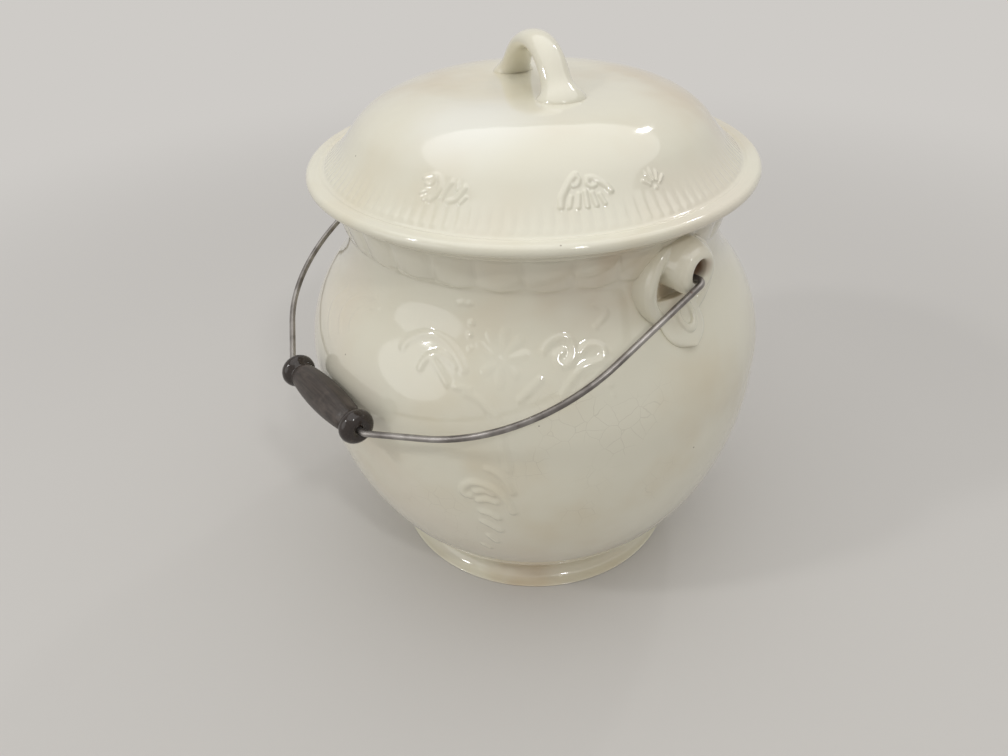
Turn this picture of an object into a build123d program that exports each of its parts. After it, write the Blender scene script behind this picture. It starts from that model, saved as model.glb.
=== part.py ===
from build123d import *

import os
from math import acos, asin, atan2, cos, degrees, hypot, radians, sin, sqrt, tan

# A lidded ironstone jar, 12 in tall, with a wire bail and a turned wooden grip.
# Millimetres and degrees. The jar stands on z = 0 about the Z axis, its two ears are on
# +X and -X, and the bail rests on the belly toward -Y.

# ---- Foot ring ----
foot_flare = 8.7  # outside of the edge that the jar stands on, from the base
foot_edge = 6.5  # width of that edge
foot_inset = 5.0  # how far the inner wall draws in toward the base
foot_waist_flare = 0.2  # narrowest place of the hollow side, from the base
foot_waist_height = 8.5
foot_lip = 1.4  # upright lip below the hollow side
foot_height = 15.8  # where the ring is luted to the belly
foot_rounding = 1.0

# ---- Jar ----
base_height = 12.0  # underside of the base
base_thickness = 8.0
wall = 6.0
belly_radius = 133.0
belly_height = 128.0  # widest level, where the lower half ends
belly_depth = 150.0  # half height of the ellipse that the lower half follows
belly_band = 12.0  # upright stretch above it
shoulder_radius = 75.0
neck_radius = 103.0
neck_hollow = 36.8  # radius of the hollow moulding round the neck
rim_rise = 26.2  # top of the rim above the narrowest level of the neck
rim_radius = 112.0
rim_bore = 106.0
rim_thickness = 5.0
rim_rounding = 1.6

# ---- Flutes round the neck ----
flute_count = 30
flute_root_rise = 0.2  # start of the flutes above the narrowest level
flute_foot_rise = 3.8
flute_sink = 0.8  # how far the flutes' root is sunk below the neck
flute_foot_proud = 1.9
flute_crown_radius = 108.8
flute_depth = 1.3
flute_fade = 0.01  # depth of the flutes where they run out in the hollow
flute_top_drop = 1.4  # plain slope between the flutes and the rim's band

# ---- Ears ----
ear_drop = 2.7  # centre of the dish below the narrowest level of the neck
ear_reach = 8.5  # front of the dish from the neck
ear_tilt = 5.0  # the dish leans back with the wall
ear_radius = 22.5
ear_band = 7.4  # width of the half-round ring
ear_recess = 7.0
ear_recess_taper = 1.0  # the recess is narrower at its floor by this much
ear_root = 22.0  # length of the blank behind the front, before it is cut to the wall
horn_sink = 3.0  # root of the horn behind the neck, before it is cut to the wall
horn_barrel = 7.0  # end of the horn's thick part from the neck
horn_swell_reach = 13.5  # swelling between the thick part and the nose, from the neck
horn_swell = 1.6  # the swelling is thicker than the nose by this much
horn_reach = 17.5  # end face of the horn from the neck
horn_lift = 8.7  # centre of the horn's root above the centre of the dish
horn_barrel_lift = 8.4
horn_root_radius = 12.6
horn_nose_lift = 4.7
horn_nose_radius = 9.3
horn_rounding = 2.4
eye_width = 8.0  # blind hole for the wire
eye_height = 10.45
eye_depth = 12.0
eye_rounding = 0.7
leaf_width = 28.0
leaf_top = 18.0  # below the centre of the dish
leaf_shoulder = 22.5
leaf_tip = 32.5
leaf_proud = 3.5
leaf_drop_width = 11.0  # raised loop on the leaf
leaf_drop_line = 2.4
leaf_drop_shoulder = 20.0
leaf_drop_tip = 25.5
leaf_drop_proud = 1.2

# ---- Lid ----
seat_gap = 0.3  # between the rim and the lid
lid_overhang = 8.1
lid_bead = 3.0  # radius of the bead round the edge
lid_thickness = 5.5
flange_dish = 0.5
flange_inner = 112.0
groove_radius = 107.6
groove_width = 3.6
groove_depth = 0.7
rib_count = 120
rib_foot_radius = 104.4
rib_head_radius = 98.2
rib_rise = 9.0
rib_depth = 0.7
rib_sink = 0.2  # the ribs start this far inside the flange
dome_radius = 54.0  # horizontal half axis of the dome's quarter ellipse
dome_rise = 31.0
crown_radius = 45.0
crown_height = 40.3  # above the underside of the flange
crown_dish = 0.6
skirt_radius = 100.0
skirt_thickness = 6.0
skirt_depth = 8.0

# ---- Lid handle ----
handle_turn = -17.0  # the lid stands turned by this much
handle_rise = 25.5  # top of the arch above the crown
handle_crown_half = 21.0  # half width of the arch's round crown
handle_crown_sagitta = 6.9
handle_strap = 9.5  # thickness at the top
handle_flank_half = 36.0  # the arch's hollow flank passes through here
handle_flank_rise = 7.0
handle_crown_slope = 0.62  # fall per length where the flank leaves the round crown
handle_foot_slope = 0.3  # and where it meets the lid
handle_foot_half = 45.0
handle_gap_half = 22.6
handle_gap_spring = 5.0  # the round of the opening starts this far above the crown
handle_width = 15.4
handle_rounding = 4.2
handle_sink = 4.0  # how far the blank reaches below the crown
pad_half = 32.5  # centre of each foot pad from the axis
pad_length = 27.0
pad_width = 25.0
pad_edge = 1.5  # upright edge of the pad
pad_rise = 9.0
pad_taper = 0.62
pad_lean = 1.3  # the pad's top is this much nearer to the axis

# ---- Bail ----
wire_radius = 1.65
pivot_rise = 3.5  # hinge axis above the centre of the dish
pin_inset = 10.4  # inner end of the pin from the horn's end face
hook_radius = 3.6
arm_gap = 1.25  # between the wire and whichever stands out further, horn or lid
bail_reach = 156.4  # from the hinge axis to the grip's axis
bail_bend_radius = 90.0
bail_end_slope = 28.0  # the wire falls away from the grip at this angle
grip_bend_half = 39.0  # bend beside the grip, from the middle
grip_bend_radius = 8.0

# ---- Grip ----
grip_half = 36.6
grip_radius = 9.0
grip_neck_radius = 6.5
grip_neck_half = 26.5
grip_bead_radius = 9.3
grip_bead_half = 32.2
grip_face_radius = 5.6
grip_mouth_radius = 3.4
grip_mouth_depth = 1.0
grip_mouth_floor = 0.3  # width of the flat at the bottom of the mouth
bore_gap = 0.3  # between the grip's bore and the wire
rest_gap = 0.3  # between the resting grip and the belly

# ---- Levels and places that follow ----
shoulder_x = belly_radius - shoulder_radius
shoulder_z = belly_height + belly_band
neck_x = neck_radius + neck_hollow
neck_z = shoulder_z + sqrt((shoulder_radius + neck_hollow) ** 2 - (neck_x - shoulder_x) ** 2)
shoulder_angle = degrees(atan2(neck_z - shoulder_z, neck_x - shoulder_x))
rim_z = neck_z + rim_rise
flute_top_z = rim_z - rim_thickness - flute_top_drop
ear_z = neck_z - ear_drop
ear_x = neck_radius + ear_reach
horn_x = neck_radius + horn_reach
pivot_z = ear_z + pivot_rise
eye_z = pivot_z - wire_radius - bore_gap + eye_height / 2
lid_z = rim_z + seat_gap
lid_radius = rim_radius + lid_overhang
flange_z = lid_z + 2 * lid_bead - seat_gap
crown_z = lid_z + crown_height
dome_z = crown_z - dome_rise
rib_top_z = flange_z + rib_rise
handle_top_z = crown_z + handle_rise
arm_x = max(horn_x, lid_radius) + arm_gap + wire_radius

# The grip lies on the shoulder's arc or, with a longer bail, on the upright band below it:
# the angle of the bail below the horizontal.
pivot_span = hypot(shoulder_x, pivot_z - shoulder_z)
rest_span = shoulder_radius + grip_radius + rest_gap
rest_cosine = (bail_reach**2 + pivot_span**2 - rest_span**2) / (2 * bail_reach * pivot_span)
rest_angle = atan2(pivot_z - shoulder_z, shoulder_x) - acos(rest_cosine)
if bail_reach * sin(rest_angle) > pivot_z - shoulder_z:
    rest_angle = acos((belly_radius + grip_radius + rest_gap) / bail_reach)


def belly_at(height):
    """Radius of the lower half of the belly at a height."""
    return belly_radius * sqrt(1 - ((belly_height - height) / belly_depth) ** 2)


def elliptic_line(centre, half_width, half_height, start, end):
    """Smooth line along an ellipse about centre, between two angles of its formula."""
    steps = 8
    turns = [radians(start + (end - start) * i / steps) for i in range(steps + 1)]
    points = [
        (centre[0] + half_width * cos(turn), centre[1] + half_height * sin(turn)) for turn in turns
    ]
    way = 1 if end > start else -1
    ends = [
        (-way * half_width * sin(turn), way * half_height * cos(turn))
        for turn in (turns[0], turns[-1])
    ]
    Spline(*points, tangents=ends)


def wall_line(inset, bottom, top):
    """Side of the jar, set in from the outer face by inset, from bottom to top."""
    radius = belly_radius - inset
    depth = belly_depth - inset
    start = -degrees(asin((belly_height - bottom) / depth))
    foot = (radius * cos(radians(start)), bottom)
    hollow = neck_hollow + inset
    rise = degrees(asin((top - neck_z) / hollow))
    head = (neck_x - hollow * cos(radians(rise)), top)
    elliptic_line((0, belly_height), radius, depth, start, 0)
    Line((radius, belly_height), (radius, shoulder_z))
    CenterArc((shoulder_x, shoulder_z), shoulder_radius - inset, 0, shoulder_angle)
    CenterArc((neck_x, neck_z), hollow, 180 + shoulder_angle, -shoulder_angle - rise)
    return foot, head


def scallops(radius, count, depth):
    """Face with an outline of round lobes; radius is to their crowns."""
    root = radius - depth
    step = 360 / count
    with BuildSketch(Plane.XY) as face:
        with BuildLine():
            for i in range(count):
                turns = [radians(step * (i + part)) for part in (-0.5, 0, 0.5)]
                ThreePointArc(
                    (root * cos(turns[0]), root * sin(turns[0])),
                    (radius * cos(turns[1]), radius * sin(turns[1])),
                    (root * cos(turns[2]), root * sin(turns[2])),
                )
        make_face()
    return face.sketch


def lobed_band(count, sections):
    """Solid band of lobes through sections of (height, crown radius, lobe depth)."""
    with BuildPart() as band:
        for low, high in zip(sections, sections[1:]):
            for height, radius, depth in (low, high):
                with BuildSketch(Plane.XY.offset(height)):
                    add(scallops(radius, count, depth))
            loft(ruled=True)
    return band.part


def jar_block(proud=0.0):
    """The jar filled in, with its outer face moved outward by proud."""
    with BuildPart() as block:
        with BuildSketch(Plane.XZ):
            with BuildLine():
                foot, head = wall_line(-proud, base_height - proud, neck_z + flute_foot_rise)
                rim = rim_radius + proud
                Polyline(
                    head,
                    (flute_crown_radius - flute_depth + proud, flute_top_z),
                    (rim, rim_z - rim_thickness),
                    (rim, rim_z),
                    (0, rim_z),
                    (0, foot[1]),
                    foot,
                )
            make_face()
        revolve(axis=Axis.Z)
        if not proud:
            rim_edge = block.edges().filter_by(GeomType.CIRCLE).sort_by(Axis.Z)[-1]
            fillet(rim_edge, rim_rounding)
            add(lobed_band(flute_count, flute_sections))
    return block.part


flute_sections = [
    (neck_z + flute_root_rise, neck_radius - flute_sink, flute_fade),
    (neck_z + flute_foot_rise, neck_radius + flute_foot_proud, flute_depth),
    (flute_top_z, flute_crown_radius, flute_depth),
]
filled_jar = jar_block()
leaf_block = jar_block(leaf_proud)
drop_block = jar_block(leaf_proud + leaf_drop_proud)

# ---- Jar body: the filled form less its cavity ----
with BuildPart() as jar_body:
    add(filled_jar)
    with BuildSketch(Plane.XZ):
        with BuildLine():
            floor, throat = wall_line(wall, base_height + base_thickness, neck_z + flute_foot_rise)
            Polyline(throat, (rim_bore, rim_z - rim_thickness), (rim_bore, rim_z + 1))
            Polyline((rim_bore, rim_z + 1), (0, rim_z + 1), (0, floor[1]), floor)
        make_face()
    revolve(axis=Axis.Z, mode=Mode.SUBTRACT)
    mouth = jar_body.edges().filter_by(GeomType.CIRCLE).group_by(Axis.Z)[-1].sort_by(SortBy.RADIUS)
    fillet(mouth[0], rim_rounding)
jar_body.part.label = "jar_body"

# ---- Foot ring: a hollow-sided flare luted to the belly ----
with BuildPart() as foot_ring:
    with BuildSketch(Plane.XZ):
        with BuildLine():
            base_radius = belly_at(base_height)
            foot_radius = base_radius + foot_flare
            inner = foot_radius - foot_edge
            head = (belly_at(foot_height), foot_height)
            waist = (base_radius + foot_waist_flare, foot_waist_height)
            Polyline((inner, 0), (foot_radius, 0), (foot_radius, foot_lip))
            ThreePointArc((foot_radius, foot_lip), waist, head)
            Polyline(
                head,
                (inner - foot_inset, foot_height),
                (inner - foot_inset, base_height),
                (inner, 0),
            )
        make_face()
    revolve(axis=Axis.Z)
    standing = foot_ring.edges().filter_by(GeomType.CIRCLE).group_by(Axis.Z)[0]
    fillet(standing, foot_rounding)
    add(filled_jar, mode=Mode.SUBTRACT)
foot_ring.part.label = "foot_ring"


def leaf_outline(width, shoulder, tip, top):
    """Hanging U: straight sides down to the shoulder, a round tip below."""
    half = width / 2
    with BuildSketch(Plane.XY) as outline:
        with BuildLine():
            Polyline((-half, -shoulder), (-half, -top), (half, -top), (half, -shoulder))
            ThreePointArc((half, -shoulder), (0, -tip), (-half, -shoulder))
        make_face()
    return outline.sketch


def ear(side):
    """Ear: a dish on the neck, a leaf hanging on the shoulder, a horn bored for the wire."""
    lean = radians(ear_tilt)
    outward = Vector(side * cos(lean), 0, sin(lean))
    dish = Plane(origin=(side * ear_x, 0, ear_z), x_dir=(0, side, 0), z_dir=outward)
    section = Plane(origin=dish.origin, x_dir=dish.x_dir, z_dir=dish.x_dir.cross(outward))
    bead = ear_band / 2
    inner = ear_radius - ear_band

    def front(reach, height):
        return Plane(origin=(side * reach, 0, height), x_dir=(0, side, 0), z_dir=(side, 0, 0))

    with BuildPart() as leaf:
        with BuildSketch(front(neck_radius, ear_z)):
            add(leaf_outline(leaf_width, leaf_shoulder, leaf_tip, leaf_top))
        extrude(amount=ear_root * 2)
        add(leaf_block, mode=Mode.INTERSECT)
    with BuildPart() as drop:
        with BuildSketch(front(neck_radius, ear_z)):
            bow = leaf_drop_shoulder
            narrow = leaf_drop_width - 2 * leaf_drop_line
            inner_tip = leaf_drop_tip - leaf_drop_line
            add(leaf_outline(leaf_drop_width, bow, leaf_drop_tip, leaf_top))
            add(leaf_outline(narrow, bow, inner_tip, leaf_top), mode=Mode.SUBTRACT)
        extrude(amount=ear_root * 2)
        add(drop_block, mode=Mode.INTERSECT)

    with BuildPart() as horn:
        swell = (neck_radius + horn_swell_reach, (horn_lift + horn_nose_lift) / 2)
        shape = (
            (neck_radius - horn_sink, horn_lift, horn_root_radius),
            (neck_radius + horn_barrel, horn_barrel_lift, horn_root_radius),
            (*swell, horn_nose_radius + horn_swell),
            (horn_x, horn_nose_lift, horn_nose_radius),
        )
        for reach, lift, radius in shape:
            with BuildSketch(front(reach, ear_z + lift)):
                Circle(radius)
        loft()
        nose = horn.faces().sort_by(Axis((0, 0, 0), (side, 0, 0)))[-1]
        fillet(nose.edges(), horn_rounding)
        with BuildSketch(front(horn_x, eye_z)):
            Ellipse(eye_width / 2, eye_height / 2)
        extrude(amount=-eye_depth, mode=Mode.SUBTRACT)
        nose = horn.faces().sort_by(Axis((0, 0, 0), (side, 0, 0)))[-1]
        fillet(nose.inner_wires().edges(), eye_rounding)

    with BuildPart() as whole:
        with BuildSketch(section):
            with BuildLine():
                ThreePointArc((ear_radius, -bead), (ear_radius - bead, 0), (inner, -bead))
                Polyline(
                    (inner, -bead),
                    (inner - ear_recess_taper, -ear_recess),
                    (0, -ear_recess),
                    (0, -ear_root),
                    (ear_radius, -ear_root),
                    (ear_radius, -bead),
                )
            make_face()
        revolve(axis=Axis(dish.origin, outward))
        add(leaf.part)
        add(drop.part)
        add(filled_jar, mode=Mode.SUBTRACT)
        add(horn.part)
        add(filled_jar, mode=Mode.SUBTRACT)
    return whole.part


with BuildPart() as ear_right:
    add(ear(1))
ear_right.part.label = "ear_right"

with BuildPart() as ear_left:
    add(ear(-1))
ear_left.part.label = "ear_left"

# ---- Lid: beaded flange, groove, ribbed band, dome and a skirt that drops in the rim ----
with BuildPart() as lid:
    with BuildSketch(Plane.XZ):
        with BuildLine():
            bead_x = lid_radius - lid_bead
            ThreePointArc(
                (bead_x, flange_z - 2 * lid_bead),
                (lid_radius, flange_z - lid_bead),
                (bead_x, flange_z),
            )
            Line((bead_x, flange_z), (flange_inner, flange_z - flange_dish))
            Line(
                (flange_inner, flange_z - flange_dish),
                (groove_radius + groove_width / 2, flange_z),
            )
            ThreePointArc(
                (groove_radius + groove_width / 2, flange_z),
                (groove_radius, flange_z - groove_depth),
                (groove_radius - groove_width / 2, flange_z),
            )
            rib_root = (rib_foot_radius - rib_depth, flange_z + rib_sink)
            Line((groove_radius - groove_width / 2, flange_z), rib_root)
            dome_foot = degrees(asin((rib_top_z - dome_z) / dome_rise))
            dome_x = crown_radius + dome_radius * cos(radians(dome_foot))
            Line(rib_root, (dome_x, rib_top_z))
            elliptic_line((crown_radius, dome_z), dome_radius, dome_rise, dome_foot, 90)
            Spline(
                (crown_radius, crown_z), (0, crown_z - crown_dish), tangents=[(-1, 0), (-1, 0)]
            )
            Polyline(
                (0, crown_z - crown_dish),
                (0, lid_z),
                (rim_bore, lid_z),
                (rim_radius, lid_z),
                (bead_x, flange_z - 2 * lid_bead),
            )
        make_face()
    revolve(axis=Axis.Z)
    with BuildSketch(Plane.XY.offset(lid_z - skirt_depth)):
        Circle(skirt_radius)
    extrude(amount=skirt_depth)
    add(lobed_band(rib_count, [
        (flange_z - rib_sink, rib_foot_radius, rib_depth),
        (rib_top_z, rib_head_radius, rib_depth),
    ]))
    with BuildSketch(Plane.XZ):
        with BuildLine():
            skirt_bore = skirt_radius - skirt_thickness
            hollow_rise = dome_rise - lid_thickness
            elliptic_line((crown_radius, dome_z), skirt_bore - crown_radius, hollow_rise, 0, 90)
            Polyline(
                (crown_radius, dome_z + hollow_rise),
                (0, dome_z + hollow_rise),
                (0, lid_z - skirt_depth - 1),
                (skirt_bore, lid_z - skirt_depth - 1),
                (skirt_bore, dome_z),
            )
        make_face()
    revolve(axis=Axis.Z, mode=Mode.SUBTRACT)
lid.part.label = "lid"

# ---- Lid handle: a strap arch with two spread feet, luted on the crown ----
spin = radians(handle_turn)
handle_plane = Plane(
    origin=(0, 0, 0), x_dir=(cos(spin), sin(spin), 0), z_dir=(sin(spin), -cos(spin), 0)
)
with BuildPart() as lid_handle:
    with BuildSketch(handle_plane):
        shoulder_drop = handle_crown_sagitta
        foot_z = crown_z - handle_sink
        spring_z = crown_z + handle_gap_spring
        inner_z = handle_top_z - handle_strap
        with BuildLine():
            ThreePointArc(
                (-handle_crown_half, handle_top_z - shoulder_drop),
                (0, handle_top_z),
                (handle_crown_half, handle_top_z - shoulder_drop),
            )
            for side in (-1, 1):
                Spline(
                    (side * handle_crown_half, handle_top_z - shoulder_drop),
                    (side * handle_flank_half, crown_z + handle_flank_rise),
                    (side * handle_foot_half, crown_z),
                    tangents=[(side, -handle_crown_slope), (side, -handle_foot_slope)],
                )
                Line((side * handle_foot_half, crown_z), (side * handle_foot_half, foot_z))
                Line((side * handle_foot_half, foot_z), (side * handle_gap_half, foot_z))
                Line((side * handle_gap_half, foot_z), (side * handle_gap_half, spring_z))
            ThreePointArc(
                (-handle_gap_half, spring_z),
                (0, inner_z),
                (handle_gap_half, spring_z),
            )
        make_face()
    extrude(amount=handle_width / 2, both=True)
    sides = lid_handle.faces().filter_by(Axis((0, 0, 0), handle_plane.z_dir))
    fillet(sides.edges().filter_by(GeomType.LINE, reverse=True), handle_rounding)
    pad = (
        (foot_z, pad_half, 1.0),
        (crown_z + pad_edge, pad_half, 1.0),
        (crown_z + pad_rise, pad_half - pad_lean, pad_taper),
    )
    for side in (-1, 1):
        for height, reach, share in pad:
            level = Plane(
                origin=handle_plane.from_local_coords((side * reach, height, 0)),
                x_dir=handle_plane.x_dir,
                z_dir=(0, 0, 1),
            )
            with BuildSketch(level):
                Ellipse(pad_length / 2 * share, pad_width / 2 * share)
        loft()
    add(lid.part, mode=Mode.SUBTRACT)
lid_handle.part.label = "lid_handle"

# ---- Bail wire: two hooks in the ears, two bowed arms, straight through the grip ----
slope = radians(bail_end_slope)
corner_reach = bail_reach - tan(slope) * (arm_x - grip_bend_half)
bow_tangent = bail_bend_radius * tan((radians(90) - slope) / 2)
bend_tangent = grip_bend_radius * tan(slope / 2)
bail_plane = Plane(
    origin=(0, 0, pivot_z), x_dir=(1, 0, 0), z_dir=(0, sin(rest_angle), -cos(rest_angle))
)


def bail_half():
    """Half of the wire's centre line, from the pin's inner end to the middle of the grip."""
    pin = (horn_x - pin_inset, 0)
    hook = (arm_x - hook_radius, 0)
    arm = (arm_x, hook_radius)
    bow = (arm_x, corner_reach - bow_tangent)
    bow_end = (arm_x - bow_tangent * cos(slope), corner_reach + bow_tangent * sin(slope))
    bend = (
        grip_bend_half + bend_tangent * cos(slope),
        bail_reach - bend_tangent * sin(slope),
    )
    bend_end = (grip_bend_half - bend_tangent, bail_reach)
    Line(pin, hook)
    RadiusArc(hook, arm, -hook_radius)
    Line(arm, bow)
    RadiusArc(bow, bow_end, -bail_bend_radius)
    Line(bow_end, bend)
    RadiusArc(bend, bend_end, -grip_bend_radius)
    Line(bend_end, (0, bail_reach))


with BuildPart() as bail_wire:
    with BuildLine(bail_plane):
        bail_half()
    with BuildSketch(Plane(origin=(horn_x - pin_inset, 0, pivot_z), z_dir=(1, 0, 0))):
        Circle(wire_radius)
    sweep()
    mirror(about=Plane.YZ)
bail_wire.part.label = "bail_wire"

# ---- Grip: a turned barrel between two beads, bored for the wire ----
grip_centre = bail_plane.from_local_coords((0, bail_reach, 0))
with BuildPart() as bail_grip:
    turning = Plane(origin=grip_centre, x_dir=(1, 0, 0), z_dir=(0, -1, 0))
    with BuildSketch(turning):
        bore = wire_radius + bore_gap
        reach = grip_half - grip_mouth_depth
        with BuildLine():
            ThreePointArc(
                (-grip_neck_half, grip_neck_radius),
                (0, grip_radius),
                (grip_neck_half, grip_neck_radius),
            )
            for side in (-1, 1):
                ThreePointArc(
                    (side * grip_neck_half, grip_neck_radius),
                    (side * grip_bead_half, grip_bead_radius),
                    (side * grip_half, grip_face_radius),
                )
                Polyline(
                    (side * grip_half, grip_face_radius),
                    (side * grip_half, grip_mouth_radius),
                    (side * reach, bore + grip_mouth_floor),
                    (side * reach, bore),
                )
            Line((-reach, bore), (reach, bore))
        make_face()
    revolve(axis=Axis(grip_centre, (1, 0, 0)))
bail_grip.part.label = "bail_grip"

os.makedirs("parts", exist_ok=True)
export_step(jar_body.part, "parts/jar_body.step")
export_step(foot_ring.part, "parts/foot_ring.step")
export_step(ear_left.part, "parts/ear_left.step")
export_step(ear_right.part, "parts/ear_right.step")
export_step(lid.part, "parts/lid.step")
export_step(lid_handle.part, "parts/lid_handle.step")
export_step(bail_wire.part, "parts/bail_wire.step")
export_step(bail_grip.part, "parts/bail_grip.step")
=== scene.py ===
from functools import partial
from math import asin, atan2, cos, degrees, hypot, pi, radians, sin, sqrt, tan

import bmesh
import bpy
import numpy as np
from bpy.props import FloatProperty, FloatVectorProperty, IntProperty, PointerProperty
from mathutils import Matrix, Vector


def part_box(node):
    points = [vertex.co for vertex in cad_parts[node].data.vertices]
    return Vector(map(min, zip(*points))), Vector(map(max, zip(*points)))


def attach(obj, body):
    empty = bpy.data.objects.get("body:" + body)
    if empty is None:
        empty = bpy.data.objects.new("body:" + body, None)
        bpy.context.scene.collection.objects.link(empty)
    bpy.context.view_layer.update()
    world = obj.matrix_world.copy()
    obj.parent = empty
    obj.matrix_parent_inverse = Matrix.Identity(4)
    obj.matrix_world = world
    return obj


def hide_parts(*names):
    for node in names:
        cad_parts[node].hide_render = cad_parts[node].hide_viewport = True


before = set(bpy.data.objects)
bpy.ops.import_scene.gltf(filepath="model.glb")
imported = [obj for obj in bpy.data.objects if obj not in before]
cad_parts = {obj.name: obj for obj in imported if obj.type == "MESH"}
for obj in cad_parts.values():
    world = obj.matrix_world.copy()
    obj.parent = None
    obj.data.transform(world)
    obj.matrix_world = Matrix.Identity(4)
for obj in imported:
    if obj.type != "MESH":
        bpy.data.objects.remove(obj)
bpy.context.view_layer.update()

bl_info = {
    "name": "Lidded Ironstone Jar",
    "version": (1, 0, 0),
    "blender": (4, 5, 0),
    "location": "View3D > Sidebar > Jar",
    "description": "Models a lidded ironstone jar with a wire bail and a turned wooden grip",
    "category": "Add Mesh",
}

MM = 0.001
TAN, RUST = "#B9976B", "#83532F"  # tan for tea stain and for painted shade, and rust that the wire has left
NECK_DROP = 26.2  # narrowest level of the neck below the rim's top, mm
FLUTE_RUN = 19.8  # from that level to the rim's band
DOME_DROP = 31.0  # centre of the lid's dome below the crown
FLANGE_DROP = 34.6  # top of the lid's flange below the crown
SEAT_DROP = 40.3  # face of the lid that lies on the rim, below the crown
JAR_LOW, JAR_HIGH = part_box("jar_body")
LID_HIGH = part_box("lid")[1]
HANDLE_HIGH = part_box("lid_handle")[1]


# ---------------------------------------------------------------- sizes


def length(name, description, default, **more):
    """Property for a length in metres."""
    return FloatProperty(
        name=name, description=description, default=default, min=0.0, unit="LENGTH",
        subtype="DISTANCE", precision=5, **more,
    )


def colour(name, description, hex_code):
    """Property for a surface colour, given as an sRGB hex value."""
    return FloatVectorProperty(
        name=name, description=description, default=linear(hex_code), size=3, min=0.0, max=1.0,
        subtype="COLOR",
    )


def linear(hex_code):
    """sRGB hex value as linear red, green and blue."""
    parts = [int(hex_code[i:i + 2], 16) / 255 for i in (1, 3, 5)]
    return tuple(c / 12.92 if c <= 0.04045 else ((c + 0.055) / 1.055) ** 2.4 for c in parts)


class JarSizes(bpy.types.PropertyGroup):
    belly_radius: length("Belly radius", "Radius at the widest level", JAR_HIGH.x)
    belly_level: length("Belly level", "Height where the lower half ends", 128.0 * MM)
    belly_depth: length("Belly depth", "Half height of the lower half's ellipse", 150.0 * MM)
    shoulder_level: length("Shoulder level", "Height where the shoulder starts", 140.0 * MM)
    shoulder_radius: length("Shoulder radius", "Radius of the shoulder's arc", 75.0 * MM)
    neck_radius: length("Neck radius", "Radius at the narrowest level", 103.0 * MM)
    neck_hollow: length("Neck hollow", "Radius of the hollow round the neck", 36.8 * MM)
    wall: length("Wall", "Thickness of the jar's wall", 6.0 * MM)
    rim_radius: length("Rim radius", "Outside of the rim", 112.0 * MM)
    rim_level: length("Rim level", "Top of the rim", JAR_HIGH.z)
    base_level: length("Base level", "Underside of the base", JAR_LOW.z)
    flute_count: IntProperty(
        name="Flutes", description="Number of convex flutes round the neck", default=30, min=3
    )
    flute_depth: length("Flute depth", "Height of the flutes above their valleys", 1.05 * MM)
    relief: length("Relief", "Height of the moulded ornament", 1.3 * MM)


class LidSizes(bpy.types.PropertyGroup):
    radius: length("Radius", "Outside of the bead round the edge", LID_HIGH.x)
    crown_level: length("Crown level", "Top of the dome", LID_HIGH.z)
    rib_count: IntProperty(
        name="Ribs", description="Number of ribs round the dome's foot", default=120, min=3
    )
    rib_depth: length("Rib depth", "Height of the ribs above their valleys", 0.45 * MM)
    relief: length("Relief", "Height of the moulded sprays", 0.7 * MM)
    strap_width: length("Strap width", "Width of the handle at its top", 15.4 * MM)
    strap_thickness: length("Strap thickness", "Thickness of the handle at its top", 9.5 * MM)
    strap_rise: length(
        "Strap rise", "Top of the handle above the crown", HANDLE_HIGH.z - LID_HIGH.z
    )


class BailSizes(bpy.types.PropertyGroup):
    wire_radius: length("Wire radius", "Radius of the steel wire", 1.65 * MM)
    reach: length("Reach", "From the hinge axis to the grip's axis", 156.4 * MM)
    pivot_level: length("Pivot level", "Height of the hinge axis", 217.01 * MM)
    grip_radius: length("Grip radius", "Radius of the barrel at its middle", 9.0 * MM)
    grip_length: length("Grip length", "Length of the turned grip", 73.2 * MM)


class FinishColours(bpy.types.PropertyGroup):
    glaze: colour("Glaze", "Cream-white glaze", "#E2DECC")
    stain: colour("Stain", "Tan tea-like staining below the glaze", "#D8CCB0")
    wire: colour("Wire", "Oxidised steel", "#A39F9B")
    wood: colour("Wood", "Dark stained wood", "#2F2824")


class StageSettings(bpy.types.PropertyGroup):
    floor: colour("Floor", "Pale studio floor", "#CECBC7")
    key_power: FloatProperty(
        name="Key light", description="Power of the main soft light", default=13.0, min=0.0,
        unit="POWER",
    )


# ---------------------------------------------------------------- modelling helpers


def deselect():
    """Leave nothing selected, in object mode."""
    if bpy.context.object and bpy.context.object.mode != "OBJECT":
        shut()
    bpy.ops.object.select_all(action="DESELECT")


def only(piece):
    """Select one piece and make it active."""
    deselect()
    piece.select_set(True)
    bpy.context.view_layer.objects.active = piece


def open_up(piece):
    """Open a piece in edit mode with all of it selected."""
    only(piece)
    bpy.ops.object.mode_set(mode="EDIT")
    bpy.ops.mesh.select_all(action="SELECT")


def begin(name, with_point=False):
    """New mesh piece in edit mode, empty or with a single point at the origin."""
    deselect()
    bpy.ops.mesh.primitive_plane_add(size=MM)
    piece = bpy.context.object
    piece.name = piece.data.name = name
    bpy.ops.object.mode_set(mode="EDIT")
    bpy.ops.mesh.select_mode(type="VERT")
    if with_point:
        bpy.ops.mesh.merge(type="CENTER")
    else:
        bpy.ops.mesh.delete(type="VERT")
    return piece


def choose(piece, test, kind="verts"):
    """Select in edit mode the vertices or faces that pass a test."""
    bpy.ops.mesh.select_all(action="DESELECT")
    bpy.ops.mesh.select_mode(type="VERT" if kind == "verts" else "FACE")
    mesh = bmesh.from_edit_mesh(piece.data)
    for part in getattr(mesh, kind):
        if test(part):
            part.select = True
    mesh.select_flush_mode()
    bmesh.update_edit_mesh(piece.data)


def shut():
    """Leave edit mode."""
    bpy.ops.object.mode_set(mode="OBJECT")


def turn(angle, axis, centre=(0, 0, 0)):
    """Turn what is selected by a right-hand angle about an axis through centre."""
    bpy.ops.transform.rotate(value=-angle, orient_axis=axis, center_override=centre)


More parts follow.
